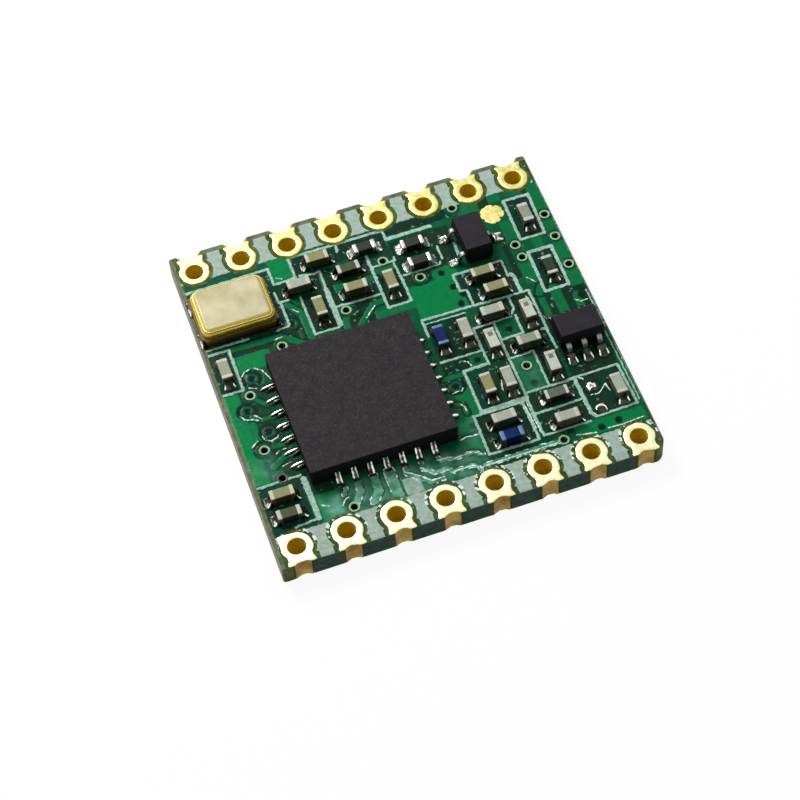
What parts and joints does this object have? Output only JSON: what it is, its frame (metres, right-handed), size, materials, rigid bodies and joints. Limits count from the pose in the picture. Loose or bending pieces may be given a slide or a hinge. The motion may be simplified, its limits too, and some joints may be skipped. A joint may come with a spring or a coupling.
{
  "type": "radio module",
  "caption": "Square green circuit board with gold plated edge pads along two sides, a flat square chip, a gold lidded crystal and small chip parts.",
  "frame": {"origin": "middle of the board's outline, on the level that the underside of the edge pads rests on", "axes": "+X along the pad rows, +Y from the near row (with the square-cornered first pad) to the far row, +Z out of the side that carries the chips"},
  "size_m": [0.0156, 0.0158, 0.002],
  "materials": {
    "board": "green solder mask over glass-fibre laminate",
    "gold": "immersion gold over copper",
    "solder": "bright solder",
    "tinned_lead": "tin plated",
    "chip_plastic": "moulded black epoxy",
    "crystal_ceramic": "dark fired ceramic",
    "crystal_gold": "gold plated, satin",
    "capacitor_ceramic": "tan ceramic with tinned ends",
    "resistor_body": "dark glaze with tinned ends",
    "inductor_body": "blue ceramic with tinned ends"
  },
  "bodies": {
    "root": {"circuit_board": "board", "near_pad_1": "gold", "near_pad_2": "gold", "near_pad_3": "gold", "near_pad_4": "gold", "near_pad_5": "gold", "near_pad_6": "gold", "near_pad_7": "gold", "near_pad_8": "gold", "far_pad_1": "gold", "far_pad_2": "gold", "far_pad_3": "gold", "far_pad_4": "gold", "far_pad_5": "gold", "far_pad_6": "gold", "far_pad_7": "gold", "far_pad_8": "gold", "via_plating": "gold", "test_pad": "gold", "solder_joints": "solder", "transceiver_body": "chip_plastic", "transceiver_leads": "tinned_lead", "transceiver_heat_pad": "tinned_lead", "crystal_base": "crystal_ceramic", "crystal_ring": "crystal_gold", "crystal_lid": "crystal_gold", "upper_chip_body": "chip_plastic", "upper_chip_leads": "tinned_lead", "edge_chip_body": "chip_plastic", "edge_chip_leads": "tinned_lead", "capacitor_1": "capacitor_ceramic", "capacitor_2": "capacitor_ceramic", "capacitor_3": "capacitor_ceramic", "capacitor_4": "capacitor_ceramic", "capacitor_5": "capacitor_ceramic", "capacitor_6": "capacitor_ceramic", "capacitor_7": "capacitor_ceramic", "capacitor_8": "capacitor_ceramic", "capacitor_9": "capacitor_ceramic", "capacitor_10": "capacitor_ceramic", "capacitor_11": "capacitor_ceramic", "capacitor_12": "capacitor_ceramic", "capacitor_13": "capacitor_ceramic", "capacitor_14": "capacitor_ceramic", "capacitor_15": "capacitor_ceramic", "capacitor_16": "capacitor_ceramic", "capacitor_17": "capacitor_ceramic", "capacitor_18": "capacitor_ceramic", "capacitor_19": "capacitor_ceramic", "capacitor_20": "capacitor_ceramic", "capacitor_21": "capacitor_ceramic", "resistor_1": "resistor_body", "resistor_2": "resistor_body", "resistor_3": "resistor_body", "resistor_4": "resistor_body", "resistor_5": "resistor_body", "resistor_6": "resistor_body", "resistor_7": "resistor_body", "inductor_1": "inductor_body", "inductor_2": "inductor_body"}
  },
  "joints": []
}
